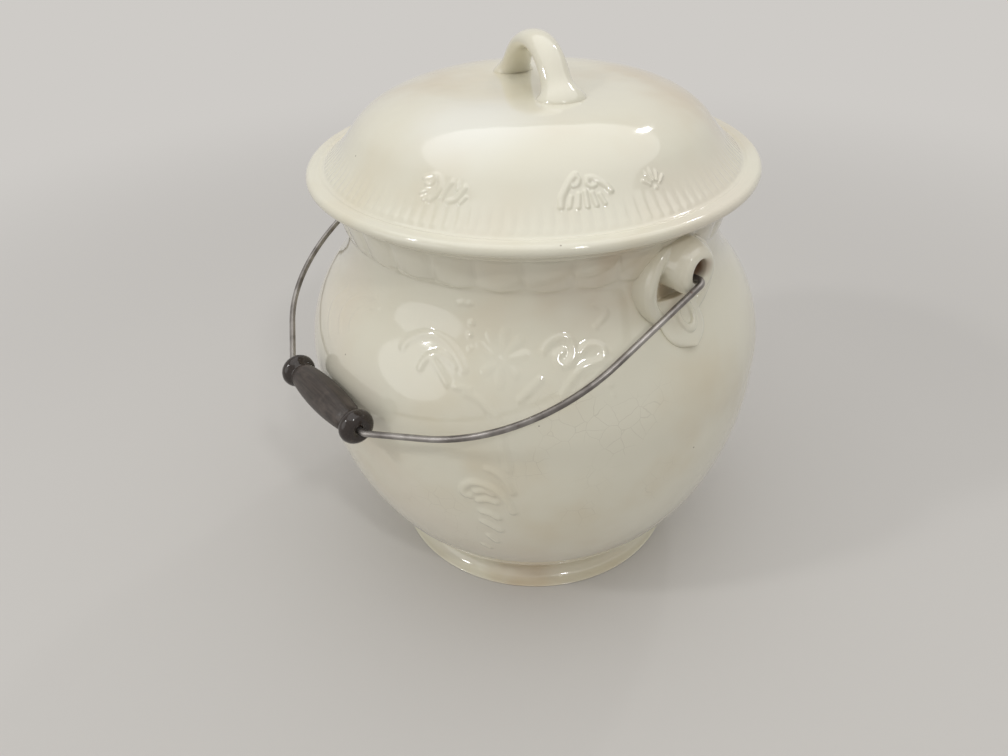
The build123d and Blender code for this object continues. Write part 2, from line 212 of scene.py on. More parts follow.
def close_up():
    """Merge doubles, face outward and leave edit mode."""
    bpy.ops.mesh.select_all(action="SELECT")
    bpy.ops.mesh.remove_doubles(threshold=0.01 * MM)
    bpy.ops.mesh.normals_make_consistent(inside=False)
    shut()


def turned(name, outline, steps, axis="Z", centre=(0, 0, 0)):
    """Turn a closed outline of (radius, place along the axis) in mm about an axis."""
    piece = begin(name, True)
    last = Vector((0, 0, 0))
    for i, (radius, along) in enumerate(outline):
        place = Vector((radius, 0, along)) if axis == "Z" else Vector((along, 0, radius))
        place = place * MM + Vector(centre)
        if i:
            bpy.ops.mesh.extrude_region_move(TRANSFORM_OT_translate={"value": place - last})
        else:
            bpy.ops.transform.translate(value=place)
        last = place
    bpy.ops.mesh.select_all(action="SELECT")
    about = (0, 0, 1) if axis == "Z" else (1, 0, 0)
    bpy.ops.mesh.spin(steps=steps, angle=2 * pi, center=centre, axis=about)
    close_up()
    return piece


def lofted(name, rings, sides=40):
    """Skin over rings of (centre, tilt, half thickness, half width), in mm and degrees.

    A ring starts level with its thickness along X, is tilted about Y, and both ends close.
    """
    piece = begin(name)
    for centre, tilt, thick, wide in rings:
        centre = Vector(centre) * MM
        bpy.ops.mesh.select_all(action="DESELECT")
        bpy.ops.mesh.primitive_circle_add(vertices=sides, radius=MM, location=centre)
        bpy.ops.transform.resize(value=(thick, wide, 1), center_override=centre)
        turn(radians(tilt), "Y", centre)
    for i in range(len(rings) - 1):
        choose(piece, lambda v: i * sides <= v.index < (i + 2) * sides)
        bpy.ops.mesh.bridge_edge_loops()
    for i in (0, len(rings) - 1):
        choose(piece, lambda v: i * sides <= v.index < (i + 1) * sides)
        bpy.ops.mesh.edge_face_add()
    close_up()
    return piece


def join(name, *pieces):
    """Join pieces into the first one and rename it."""
    only(pieces[0])
    for piece in pieces[1:]:
        piece.select_set(True)
    bpy.ops.object.join()
    pieces[0].name = pieces[0].data.name = name
    return pieces[0]


def modify(piece, kind, **settings):
    """Add a modifier to a piece and apply it."""
    only(piece)
    bpy.ops.object.modifier_add(type=kind)
    modifier = piece.modifiers[-1]
    for setting, value in settings.items():
        setattr(modifier, setting, value)
    bpy.ops.object.modifier_apply(modifier=modifier.name)


def melt(piece, voxel, rounds):
    """Fuse the overlapping forms of a piece into one skin, softened as by slip and glaze."""
    modify(piece, "REMESH", mode="VOXEL", voxel_size=voxel * MM, use_smooth_shade=True)
    modify(piece, "SMOOTH", factor=0.5, iterations=rounds)


def places(piece):
    """Vertices of a piece as an array of x, y and z."""
    co = np.zeros(len(piece.data.vertices) * 3)
    piece.data.vertices.foreach_get("co", co)
    return co.reshape(-1, 3)


def swell(piece, weights, height, name="swell"):
    """Push the skin of a piece outward by height times each vertex's weight, 0 to 1."""
    group = piece.vertex_groups.new(name=name)
    for index in np.nonzero(weights > 0.004)[0]:
        group.add([int(index)], float(weights[index]), "REPLACE")
    modify(
        piece, "DISPLACE", vertex_group=group.name, strength=height, mid_level=0.0,
        direction="NORMAL",
    )
    piece.vertex_groups.clear()


def arc(centre, radii, start, end, steps):
    """Points of an elliptic arc, both ends included."""
    turns = [radians(start + (end - start) * i / steps) for i in range(steps + 1)]
    return [(centre[0] + radii[0] * cos(a), centre[1] + radii[1] * sin(a)) for a in turns]


def dress(piece, angle, *materials):
    """Shade a piece smooth up to an angle between faces and give it its materials."""
    only(piece)
    bpy.ops.object.shade_smooth_by_angle(angle=radians(angle))
    for material in materials:
        piece.data.materials.append(material)


def finish(piece, body, standing_for):
    """Hide the node that a finished piece stands for and hang the piece on its body's empty."""
    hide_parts(standing_for)
    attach(piece, body)


# ---------------------------------------------------------------- outlines, in mm


def jar_wall(sizes, inset=0.0, density=1.0):
    """Side of the jar up to the narrowest level of the neck, set in by inset."""
    belly, depth, level, shoulder_z, shoulder, hollow, neck, base = (size / MM for size in (
        sizes.belly_radius, sizes.belly_depth, sizes.belly_level, sizes.shoulder_level,
        sizes.shoulder_radius, sizes.neck_hollow, sizes.neck_radius, sizes.base_level,
    ))
    radius, depth = belly - inset, depth - inset
    shoulder_x, neck_x = belly - shoulder, neck + hollow
    neck_z = shoulder_z + sqrt((shoulder + hollow) ** 2 - (neck_x - shoulder_x) ** 2)
    meet = degrees(atan2(neck_z - shoulder_z, neck_x - shoulder_x))
    bottom = base + inset * 4 / 3
    foot = -degrees(asin((level - bottom) / depth))
    return (
        arc((0, level), (radius, depth), foot, 0, round(58 * density))
        + [(radius, level + (shoulder_z - level) * i / 5) for i in range(1, 5)]
        + arc((shoulder_x, shoulder_z), (shoulder - inset, shoulder - inset), 0, meet,
              round(25 * density))
        + arc((neck_x, neck_z), (hollow + inset, hollow + inset), 180 + meet, 180,
              round(16 * density))[1:]
    )


def wall_at(wall, level):
    """Radius of the jar's wall at a level, and how fast it shrinks upward there."""
    radii, heights = zip(*wall)
    below, radius, above = (
        float(np.interp(level + step, heights, radii)) for step in (-1, 0, 1)
    )
    return radius, (below - above) / 2


def jar_outline(sizes):
    """Closed outline of the jar: base, outside, rim, inside and floor."""
    outside = jar_wall(sizes)
    inside = jar_wall(sizes, sizes.wall / MM, 0.42)
    neck, neck_z = outside[-1]
    rim, top = sizes.rim_radius / MM, sizes.rim_level / MM
    flutes = [(neck + 4.5 * i / 24, neck_z + FLUTE_RUN * i / 24) for i in range(1, 25)]
    band = [(-3.6, -5.9), (-1.8, -5.35), (-0.7, -4.9), (-0.15, -4.2), (0, -3.2), (0, -1.7),
            (-0.45, -0.6), (-1.5, 0), (-4.4, 0), (-5.5, -0.5), (-6, -1.6), (-6, -4.8),
            (-6.7, -8), (-8.4, -13), (-10.6, -17.5)]
    base = [(outside[0][0] * i / 7, outside[0][1]) for i in range(7)]
    floor = [(inside[0][0] * i / 7, inside[0][1]) for i in range(6, -1, -1)]
    return (
        base + outside + flutes + [(rim + x, top + z) for x, z in band]
        + [p for p in inside[::-1] if p[1] < top - 18.5] + floor
    )


def lid_dome(sizes):
    """Outside of the lid from the crown down its cove to the flange."""
    crown = sizes.crown_level / MM
    cove = [(-16.45, 92.7), (-20.6, 96.2), (-24.3, 99.3), (-27.6, 102.1), (-30.3, 104.7),
            (-32.3, 107.0), (-33.7, 108.9), (-34.7, 110.3), (-34.95, 111.5), (-34.6, 112.7),
            (-34.6, 113.8), (-34.75, 114.9)]
    curve = soft_line([(radius, crown + drop) for drop, radius in cove], 2)
    dome = arc((45, crown - DOME_DROP), (54, DOME_DROP), 90, 28, 28)
    return dome[:-1] + [tuple(p) for p in curve]


def lid_outline(sizes):
    """Closed outline of the lid: crown, dome, ribs, flange, bead, skirt and hollow."""
    crown = sizes.crown_level / MM
    edge = sizes.radius / MM
    dome = crown - DOME_DROP
    seat = crown - SEAT_DROP
    flange = seat + 5.7
    dished = [(45 * i / 9, crown - 0.3 - 0.3 * cos(pi * i / 9)) for i in range(9)]
    return (
        dished
        + lid_dome(sizes)
        + arc((edge - 3, flange - 3), (3, 3), 84, -90, 12)
        + [(112, seat), (106, seat), (100.6, seat), (100, seat - 0.6), (100, seat - 7),
           (99.2, seat - 8), (95, seat - 8), (94, seat - 7), (94, dome - 3)]
        + arc((45, dome), (49, 25.5), 0, 90, 11)
        + [(radius, dome + 25.5) for radius in (30, 15, 0)]
    )


def foot_outline(sizes):
    """Closed outline of the flared foot ring, its top hidden in the base."""
    base = jar_wall(sizes)[0][0]
    points = (
        [(87.6, 0), (92.0, 0), (92.8, 0.35), (93.0, 1.2)]
        + arc((93.9, 8.3), (9.4, 6.9), 270, 180, 12)[1:]
        + arc((93.9, 8.3), (9.4, 9.0), 180, 124, 8)[1:]
        + [(87.0, 16.6), (84.0, 15.0), (81.5, 12.2), (81.7, 9), (83.2, 5), (86.0, 1.0),
           (86.6, 0.3), (87.6, 0)]
    )
    shift = base - 84.32  # the points are drawn for a base of this radius
    return [(x + shift, z) for x, z in points]


# ---------------------------------------------------------------- moulded ornament

# Lines of the ornament as (half width in mm, height from 0 to 1, points), with each point's
# azimuth in degrees and height in mm. A line of one point is a pearl.
JAR_LINES = (
    (2.6, 1, [(-54.2, 116), (-55.8, 116.6), (-55.6, 121.8), (-53.9, 125.6), (-51.7, 126),
        (-49.5, 124), (-47.4, 119.8), (-45.8, 113.5), (-44.8, 106.5)]),
    (2.2, 0.7, [(-50, 136), (-48.3, 134.6), (-46.8, 131.7), (-45.6, 126.5), (-44.8, 121.1)]),
    (2.4, 0.9, [(-52.8, 119.8), (-50.7, 121.5), (-49, 119.3)]),
    (2.4, 0.9, [(-52.5, 113.2), (-50.4, 115), (-48.5, 113.4)]),
    (2.3, 0.9, [(-51.9, 104.6), (-50.1, 103.9), (-48.3, 100.3)]),
    (2.2, 0.8, [(-52, 95.7), (-50.2, 92.9), (-48.2, 88.9)]),
    (2.1, 0.7, [(-51.2, 81.9), (-50.4, 79), (-49.5, 76)]),
    (1.9, 0.6, [(-53.3, 69.2), (-51.9, 66.2)]),
    (2.6, 0.5, [(-54.7, 174.6), (-52.9, 173.8), (-51, 171.6), (-49.2, 168), (-47.7, 163.6),
        (-47, 158.3), (-46.4, 151.6), (-45.8, 144.2), (-45.3, 136.6)]),
    (2.3, 0.5, [(-37.6, 191.7), (-36.4, 194.5), (-34.3, 196.6), (-31.9, 196.7), (-30.3, 194.2),
        (-30.1, 190.6), (-31.3, 187.2), (-33.3, 186), (-34.5, 188), (-34.4, 190.4),
        (-33.2, 191.3)]),
    (2.3, 0.5, [(-33.7, 175.1), (-32.5, 178.6), (-30.7, 182.2), (-28.7, 184.9), (-26.5, 185.9),
        (-24.4, 186.1), (-22.9, 188.3), (-23.2, 190.9), (-25, 192.7), (-27.3, 192.5),
        (-28.9, 190.4)]),
    (2.5, 0.62, [(-72.6, 186.4), (-71.9, 189.5), (-69.9, 192.2), (-67, 194.1), (-64.1, 193.9),
        (-61.4, 192.5), (-59.1, 190.2), (-57.1, 187.1), (-55.8, 183.6)]),
    (2.2, 0.56, [(-66.6, 180.6), (-66, 184.1), (-64.6, 186.6), (-62.4, 187.8), (-59.9, 187),
        (-57.8, 184.6)]), (2, 0.56, [(-63.8, 185.4), (-61.5, 181.5), (-59.3, 176.9)]),
    (2, 0.56, [(-57.4, 176.3), (-55, 176.6), (-53.9, 176)]),
    (1.7, 0.21, [(-99.6, 171.7), (-103, 176.5), (-105.1, 182.5), (-105.2, 188.1),
        (-102.6, 193.2)]),
    (1.7, 0.24, [(-95.3, 177.5), (-97.9, 182.3), (-98.8, 187.4), (-97.5, 192.2), (-93, 197.2),
        (-87.4, 199.5)]),
    (1.7, 0.24, [(-91.5, 181.7), (-92.9, 186.3), (-92.2, 190.4), (-89.3, 194.1), (-85.2, 195.7)]),
    (1.6, 0.5, [(-59.3, 210), (-58.2, 210.8), (-57.1, 210.1), (-56, 210.9)]),
    (1.8, 0.56, [(-55.5, 201.7)]), (1.7, 0.56, [(-55.7, 196.6)]), (1.6, 0.5, [(-55.2, 191.8)]),
    (1.6, 0.4, [(-24.1, 199.2)]), (1.6, 0.34, [(-25.5, 186.7)]), (1.6, 0.34, [(-23.2, 176.7)]),
    (1.5, 0.34, [(-22.6, 172.2)]), (2.4, 0.32, [(-47.7, 188.7)]),
    (2.6, 0.32, [(-49.3, 190), (-52.9, 193.3)]), (2.6, 0.32, [(-48.7, 191.8), (-50.6, 197.5)]),
    (2.6, 0.32, [(-47.4, 192.4), (-46.9, 199.2)]), (2.6, 0.32, [(-46.1, 191.2), (-43.1, 196.2)]),
    (2.6, 0.32, [(-45.6, 189.2), (-41.9, 190.8)]), (2.6, 0.32, [(-46.3, 187), (-44.1, 183.5)]),
    (2.6, 0.32, [(-47.6, 185.4), (-47.3, 179.3)]), (2.6, 0.32, [(-49, 186.7), (-50.9, 183.9)]),
    (2.2, 0.43, [(-38.5, 181.6), (-40.7, 177.7), (-42.9, 173.5)]),
    (1.8, 0.34, [(-23.9, 209), (-21.7, 206.9), (-20.8, 203.9), (-22.9, 201)]),
)
LID_LINES = (
    (2.3, 0.9, [(-69.8, 264.6), (-67, 266.3), (-65.2, 265.5), (-64.2, 262.5), (-65.1, 259.2),
        (-66.4, 257.8)]),
    (1.7, 0.8, [(-67, 266.3), (-66.6, 264.2), (-67.6, 262.7), (-68.8, 262.9)]),
    (1.6, 0.7, [(-69.6, 259.4), (-68.4, 260.6)]), (1.6, 0.7, [(-68.2, 257.4), (-66.9, 258.2)]),
    (2, 0.8, [(-63.1, 258.8), (-62.6, 262), (-61.4, 264.6)]),
    (2.2, 0.9, [(-61.3, 258), (-59.2, 259), (-58.1, 261.3), (-57.5, 263.2)]),
    (1.6, 0.7, [(-57.9, 258.2), (-56.8, 260)]), (1.5, 0.7, [(-59.4, 262.4), (-59.6, 264.4)]),
    (2.4, 1, [(-32.9, 257.4), (-32.6, 260.2), (-31.4, 262.8), (-29.9, 265.8), (-28.2, 267.6)]),
    (1.7, 0.9, [(-28.2, 267.6), (-27.2, 266), (-27.9, 264.2), (-29.3, 264)]),
    (2.2, 1, [(-24.9, 266.1), (-23.2, 265.9), (-21.8, 264.3), (-20.4, 262.8), (-19.5, 260.9)]),
    (1.7, 0.9, [(-24.9, 266.1), (-25.6, 264.4), (-24.5, 263), (-23.3, 263.5)]),
    (1.7, 0.8, [(-30.8, 257), (-30, 260.4)]), (1.9, 0.8, [(-28.6, 256.8), (-28, 261)]),
    (2, 0.9, [(-26.3, 256.8), (-26.3, 261.6)]), (1.9, 0.8, [(-24, 256.8), (-24.6, 261)]),
    (1.7, 0.8, [(-21.8, 257), (-22.6, 260.2)]), (1.3, 0.8, [(-8, 260), (-9.7, 261.8)]),
    (1.3, 0.9, [(-7.3, 261), (-8.1, 263.6)]), (1.3, 0.9, [(-6.4, 261.4), (-6.4, 264.5)]),
    (1.3, 0.9, [(-5.5, 261), (-4.7, 263.6)]), (1.3, 0.8, [(-4.8, 260), (-3.1, 261.8)]),
    (1.7, 0.8, [(-6.4, 258.6)]),
)


def soft_line(points, rounds=3):
    """Line through points with its corners rounded off."""
    line = [Vector(p) for p in points]
    for _ in range(rounds):
        if len(line) < 3:
            break
        inner = []
        for a, b in zip(line, line[1:]):
            inner += [a.lerp(b, 0.25), a.lerp(b, 0.75)]
        line = [line[0]] + inner[1:-1] + [line[-1]]
    return line


def ornament(piece, lines, outline, subdivisions, height, spread):
    """Raise the ornament on a turned piece, its lines spread in width, and again behind."""
    radii, heights = zip(*outline)
    strokes = []
    for half_width, share, points in lines:
        line = soft_line(points)
        dots = []
        for a, b in zip(line, line[1:] or line):
            steps = max(1, round(hypot((b.x - a.x) * 2.2, b.y - a.y) / 0.5))
            dots += [a.lerp(b, i / steps) for i in range(steps)]
        dots.append(line[-1])
        for half_turn in (0, 180):
            place = []
            for dot in dots:
                radius = float(np.interp(dot.y, heights, radii))
                a = radians(dot.x + half_turn)
                place.append((radius * cos(a), radius * sin(a), dot.y))
            strokes.append((spread * half_width * MM, share, np.array(place) * MM))

    def near(co, extra):
        """Largest height of any stroke at each place, 0 to 1."""
        weights = np.zeros(len(co))
        for half_width, share, dots in strokes:
            reach = half_width + extra
            low, high = dots.min(0) - reach, dots.max(0) + reach
            close = np.nonzero(((co > low) & (co < high)).all(1))[0]
            if len(close):
                gap = np.linalg.norm(co[close, None, :] - dots[None, :, :], axis=2).min(1)
                if extra:
                    value = (gap < reach) * 1.0
                else:
                    value = share * np.clip(1 - (gap / half_width) ** 2, 0, 1) ** 1.6
                weights[close] = np.maximum(weights[close], value)
        return weights

    centres = np.zeros(len(piece.data.polygons) * 3)
    piece.data.polygons.foreach_get("center", centres)
    fine = near(centres.reshape(-1, 3), 1.6 * MM) > 0
    only(piece)
    bpy.ops.object.mode_set(mode="EDIT")
    choose(piece, lambda face: fine[face.index], "faces")
    bpy.ops.mesh.subdivide(number_cuts=subdivisions)
    shut()
    swell(piece, near(places(piece), 0), height, "ornament")


# ---------------------------------------------------------------- finishes

SMOOTH = {"interpolation_type": "SMOOTHSTEP"}
COLOUR = {"data_type": "RGBA"}
TIMES = {"operation": "MULTIPLY"}
LARGER = {"operation": "MAXIMUM"}


def node(tree, kind, settings=None, out=0, **links):
    """Add a shader node with its settings and its inputs, and give one of its outputs.

    An input is named by its name, or by _ and its number. It takes a value or an output.
    """
    made = tree.nodes.new("ShaderNode" + kind)
    for setting, value in (settings or {}).items():
        setattr(made, setting, value)
    for key, value in links.items():
        socket = made.inputs[int(key[1:]) if key[0] == "_" else key.replace("_", " ")]
        if isinstance(value, bpy.types.NodeSocket):
            tree.links.new(value, socket)
        elif socket.type == "RGBA":
            socket.default_value = (*value, 1)
        else:
            socket.default_value = value
    return made.outputs[out] if len(made.outputs) else None


def finish_named(name):
    """New material with an empty tree, what adds a node to it, and its object coordinates."""
    material = bpy.data.materials.new(name)
    material.use_nodes = True
    tree = material.node_tree
    tree.nodes.clear()
    add = partial(node, tree)
    return material, add, add("TexCoord", out="Object")


def spot(add, place, centre, inner, outer, most=1.0):
    """Mask that is at its most within inner mm of a point and fades to 0 at outer mm."""
    gap = add("VectorMath", {"operation": "DISTANCE"}, "Value", _0=place, _1=Vector(centre) * MM)
    return add("MapRange", SMOOTH, Value=gap, From_Min=outer * MM, From_Max=inner * MM,
               To_Max=most)


def glazed_ironstone(name, crazing_at=(), stains_and_shade=(), white_at=()):
    """Glazed ironstone: white earthenware body, dipped in a clear glaze and fired.

    The glaze gives a sharp wet gloss over a soft cream ground, with fine crazing, tea-coloured
    stain that has crept under it, and a few iron specks. Some of the listed tan spots are not
    stain but painted shade, laid where an overhang or a recess shades the glaze.
    """
    colours = bpy.context.scene.finish_colours
    material, add, place = finish_named(name)
    cloud = add("TexNoise", Vector=place, Scale=1 / (60 * MM), Detail=3.0, Roughness=0.55)
    tea = add("MapRange", SMOOTH, Value=cloud, From_Min=0.42, From_Max=0.75, To_Max=0.55)
    ground = add("Mix", COLOUR, 2, _0=tea, _6=colours.glaze, _7=colours.stain)
    warmth = add("TexNoise", Vector=place, Scale=1 / (95 * MM), Detail=2.0)
    blush = add("MapRange", SMOOTH, Value=warmth, From_Min=0.5, From_Max=0.75, To_Max=0.3)
    ground = add("Mix", COLOUR, 2, _0=blush, _6=ground, _7=linear("#DFD0C0"))
    cloudy = add("MapRange", SMOOTH, Value=cloud, From_Min=0.3, From_Max=0.6)
    # Spots of a hue: tea stain and rust where they are real, painted shade where a spot lies in a
    # recess or under an overhang.
    for centre, inner, outer, strength, hue in stains_and_shade:
        mask = add("Math", TIMES, _0=cloudy, _1=spot(add, place, centre, inner, outer, strength))
        ground = add("Mix", COLOUR, 2, _0=mask, _6=ground, _7=linear(hue))
    for centre, inner, outer in white_at:
        ground = add("Mix", COLOUR, 2, _6=ground, _7=linear("#ECEBE2"),
                     _0=spot(add, place, centre, inner, outer, 0.75))

    # Crazing nets the glaze in cells of about 7 mm; its hairlines are drawn 0.2 mm wide,
    # which is coarser than the real ones, so that they show.
    warp = add("TexNoise", out="Color", Vector=place, Scale=1 / (9 * MM), Detail=2.0)
    bent = add("VectorMath", {"operation": "MULTIPLY_ADD"}, _0=warp,
               _1=Vector((4, 4, 4)) * MM, _2=place)
    cells = add("TexVoronoi", {"feature": "DISTANCE_TO_EDGE"}, Vector=bent, Scale=1 / (9 * MM))
    hairline = add("MapRange", SMOOTH, Value=cells, From_Min=0.022, From_Max=0.004, To_Max=0.24)
    patch = add("TexNoise", Vector=place, Scale=1 / (30 * MM), Detail=1.0)
    patchy = add("MapRange", SMOOTH, Value=patch, From_Min=0.45, From_Max=0.62)
    zone = 0.0
    for centre, inner, outer in crazing_at:
        zone = add("Math", LARGER, _0=zone, _1=spot(add, place, centre, inner, outer))
    crazed = add("Math", TIMES, _0=add("Math", TIMES, _0=hairline, _1=patchy), _1=zone)
    ground = add("Mix", COLOUR, 2, _0=crazed, _6=ground, _7=linear("#A79C8B"))

    # Iron specks about 0.5 mm across, a few on each hand's breadth.
    speck = add("TexVoronoi", Vector=place, Scale=1 / (17 * MM))
    dark = add("MapRange", SMOOTH, Value=speck, From_Min=0.034, From_Max=0.02, To_Max=0.7)
    chance = add("SeparateColor", Color=speck.node.outputs["Color"])
    rare = add("MapRange", SMOOTH, Value=chance, From_Min=0.72, From_Max=0.76)
    ground = add("Mix", COLOUR, 2, _0=add("Math", TIMES, _0=dark, _1=rare),
                 _6=ground, _7=linear("#6B5A48"))

    # Small runs and dimples in the glaze, 12 to 20 mm apart.
    runs = add("TexNoise", Vector=place, Scale=1 / (16 * MM), Detail=1.5, Roughness=0.35)
    bump = add("Bump", Strength=0.35, Distance=0.7 * MM, Height=runs)
    gloss = add("MapRange", Value=cloud, From_Min=0.3, From_Max=0.7, To_Min=0.06, To_Max=0.12)
    shader = add("BsdfPrincipled", Base_Color=ground, Roughness=gloss, IOR=1.5,
                 Coat_Weight=0.45, Coat_Roughness=0.03, Normal=bump)
    add("OutputMaterial", Surface=shader)
    return material


def bare_ironstone(name):
    """Unglazed ironstone where the foot was wiped clean: dull, porous and stained buff."""
    material, add, place = finish_named(name)
    soil = add("TexNoise", Vector=place, Scale=1 / (6 * MM), Detail=4.0)
    soiled = add("MapRange", SMOOTH, Value=soil, From_Min=0.35, From_Max=0.7)
    ground = add("Mix", COLOUR, 2, _0=soiled, _6=linear("#CDBFA6"), _7=linear("#A48F6F"))
    grit = add("TexNoise", Vector=place, Scale=1 / (0.8 * MM), Detail=2.0)
    bump = add("Bump", Strength=0.5, Distance=0.15 * MM, Height=grit)
    shader = add("BsdfPrincipled", Base_Color=ground, Roughness=0.85, Normal=bump)
    add("OutputMaterial", Surface=shader)
    return material


def oxidised_steel(name):
    """Drawn steel wire gone grey with age: soft metallic sheen, a few brown rust blooms."""
    colours = bpy.context.scene.finish_colours
    material, add, place = finish_named(name)
    tone = add("TexNoise", Vector=place, Scale=1 / (14 * MM), Detail=4.0)
    dull = add("MapRange", SMOOTH, Value=tone, From_Min=0.35, From_Max=0.7)
    ground = add("Mix", COLOUR, 2, _0=dull, _6=colours.wire, _7=linear("#6A6562"))
    rust = add("TexNoise", Vector=place, Scale=1 / (7 * MM), Detail=5.0, Roughness=0.65)
    rusty = add("MapRange", SMOOTH, Value=rust, From_Min=0.6, From_Max=0.72)
    ground = add("Mix", COLOUR, 2, _0=add("Math", TIMES, _0=rusty, _1=0.55),
                 _6=ground, _7=linear("#6E4A33"))
    metal = add("MapRange", Value=rusty, To_Min=0.85, To_Max=0.35)
    rough = add("MapRange", Value=rusty, To_Min=0.36, To_Max=0.7)
    pits = add("TexNoise", Vector=place, Scale=1 / (1.2 * MM), Detail=3.0)
    bump = add("Bump", Strength=0.3, Distance=0.12 * MM, Height=pits)
    shader = add("BsdfPrincipled", Base_Color=ground, Metallic=metal, Roughness=rough, Normal=bump)
    add("OutputMaterial", Surface=shader)
    return material


def stained_wood(name, centre):
    """Close-grained wood turned on a lathe and stained near black, worn dull at its middle."""
    colours = bpy.context.scene.finish_colours
    material, add, place = finish_named(name)
    local = add("Mapping", Vector=place, Location=-centre)
    along = add("Mapping", Vector=local, Scale=(0.06, 1, 1))
    grain = add("TexNoise", Vector=along, Scale=1 / (0.9 * MM), Detail=4.0, Roughness=0.55)
    pale = add("MapRange", SMOOTH, Value=grain, From_Min=0.3, From_Max=0.75)
    ground = add("Mix", COLOUR, 2, _0=pale, _6=colours.wood, _7=linear("#463D37"))
    wear = add("TexNoise", Vector=local, Scale=1 / (9 * MM), Detail=3.0)
    worn = add("MapRange", SMOOTH, Value=wear, From_Min=0.5, From_Max=0.75, To_Max=0.35)
    ground = add("Mix", COLOUR, 2, _0=worn, _6=ground, _7=linear("#6A5F57"))

    # The knobs at both ends, from 24 to 28 mm out, have kept their polish.
    out = add("Math", {"operation": "ABSOLUTE"}, _0=add("SeparateXYZ", Vector=local))
    polished = add("MapRange", SMOOTH, Value=out, From_Min=24 * MM, From_Max=28 * MM)
    rough = add("MapRange", Value=polished, To_Min=0.42, To_Max=0.14)
    ground = add("Mix", COLOUR, 2, _0=add("Math", TIMES, _0=polished, _1=0.7),
                 _6=ground, _7=linear("#2A211E"))
    bump = add("Bump", Strength=0.3, Distance=0.12 * MM, Height=grain)
    shader = add("BsdfPrincipled", Base_Color=ground, Roughness=rough, Normal=bump)
    add("OutputMaterial", Surface=shader)
    return material


def seen_directly(add):
    """Mask that is 1 for what the camera sees itself, mirrored or through glass."""
    camera = add("LightPath", out="Is Camera Ray")
    rays = camera.node.outputs
    seen = add("Math", LARGER, _0=camera, _1=rays["Is Glossy Ray"])
    return add("Math", LARGER, _0=seen, _1=rays["Is Transmission Ray"])


def pale_board(name, hue):
    """Matt painted board of the floor, which keeps its own tone far from the lamps."""
    material, add, place = finish_named(name)
    board = add("BsdfPrincipled", Base_Color=hue, Roughness=0.9, Specular_IOR_Level=0.2)
    glow = add("Emission", Color=hue, Strength=1.0)
    away = add("VectorMath", {"operation": "LENGTH"}, "Value", _0=place)
    far = add("MapRange", SMOOTH, Value=away, From_Min=0.35, From_Max=1.1)
    share = add("Math", TIMES, _0=far, _1=seen_directly(add))
    add("OutputMaterial", Surface=add("MixShader", _0=share, _1=board, _2=glow))
    return material


# ---------------------------------------------------------------- operators


class JAR_OT_body(bpy.types.Operator):
    """Turn the jar, flute its neck and raise its ornament"""

    bl_idname = "mesh.jar_body"
    bl_label = "Jar Body"

    def execute(self, context):
        sizes = context.scene.jar_sizes
        piece = turned("ironstone_jar", jar_outline(sizes), 14 * sizes.flute_count)
        co = places(piece)
        radius = np.hypot(co[:, 0], co[:, 1])
        lobe = np.abs(np.cos(np.arctan2(co[:, 1], co[:, 0]) * sizes.flute_count / 2))
        neck_z = sizes.rim_level - NECK_DROP * MM
        # A flute's foot is scalloped, 0.6 mm up at its middle and 2.3 mm at its sides.
        start = neck_z + (0.6 + 1.7 * (1 - lobe) ** 0.8) * MM
        rise = np.clip((co[:, 2] - start) / (2.6 * MM), 0, 1)
        fade = np.clip((neck_z + (FLUTE_RUN + 0.6) * MM - co[:, 2]) / (0.9 * MM), 0, 1)
        outer = radius > sizes.neck_radius - 0.5 * MM
        weight = outer * fade * (3 * rise ** 2 - 2 * rise ** 3) * lobe ** 0.55
        swell(piece, weight, sizes.flute_depth, "flutes")
        ornament(piece, JAR_LINES, jar_wall(sizes), 1, sizes.relief, 1.15)
        dress(piece, 50, glazed_ironstone(
            "Glazed ironstone, jar",
            crazing_at=[((118, -56, 138), 26, 62), ((-118, 56, 138), 26, 62),
                        ((60, -110, 90), 10, 45)],
            # The two tan spots 222 mm up are painted shade and warm reflected light on the fluted
            # neck under the lid's overhang; the spot 16 mm up is a real stain by the foot.
            stains_and_shade=[((100, -42, 222), 8, 40, 0.45, TAN), ((60, -62, 16), 6, 24, 0.3, TAN),
                    ((-100, 42, 222), 8, 40, 0.4, TAN)],
        ))
        finish(piece, "jar", "jar_body")
        return {"FINISHED"}


class JAR_OT_foot(bpy.types.Operator):
    """Turn the flared foot ring and leave its standing edge bare"""

    bl_idname = "mesh.jar_foot"
    bl_label = "Foot Ring"

    def execute(self, context):
        piece = turned("ironstone_foot", foot_outline(context.scene.jar_sizes), 320)
        co = places(piece)
        turns = np.arctan2(co[:, 1], co[:, 0])
        wave = 0.5 + 0.25 * np.sin(5 * turns + 1.0) + 0.25 * np.sin(9 * turns)
        near_seam = np.clip(1 - np.abs(co[:, 2] / MM - 14.5) / 2.4, 0, 1)
        swell(piece, near_seam * wave * (np.hypot(co[:, 0], co[:, 1]) > 84 * MM), 0.5 * MM)
        dress(piece, 50, glazed_ironstone(
            "Glazed ironstone, foot", stains_and_shade=[((62, -64, 8), 8, 30, 0.4, TAN)],
        ), bare_ironstone("Bare ironstone, foot edge"))
        for face in piece.data.polygons:
            if face.center.z < 0.4 * MM:
                face.material_index = 1
        finish(piece, "jar", "foot_ring")
        return {"FINISHED"}


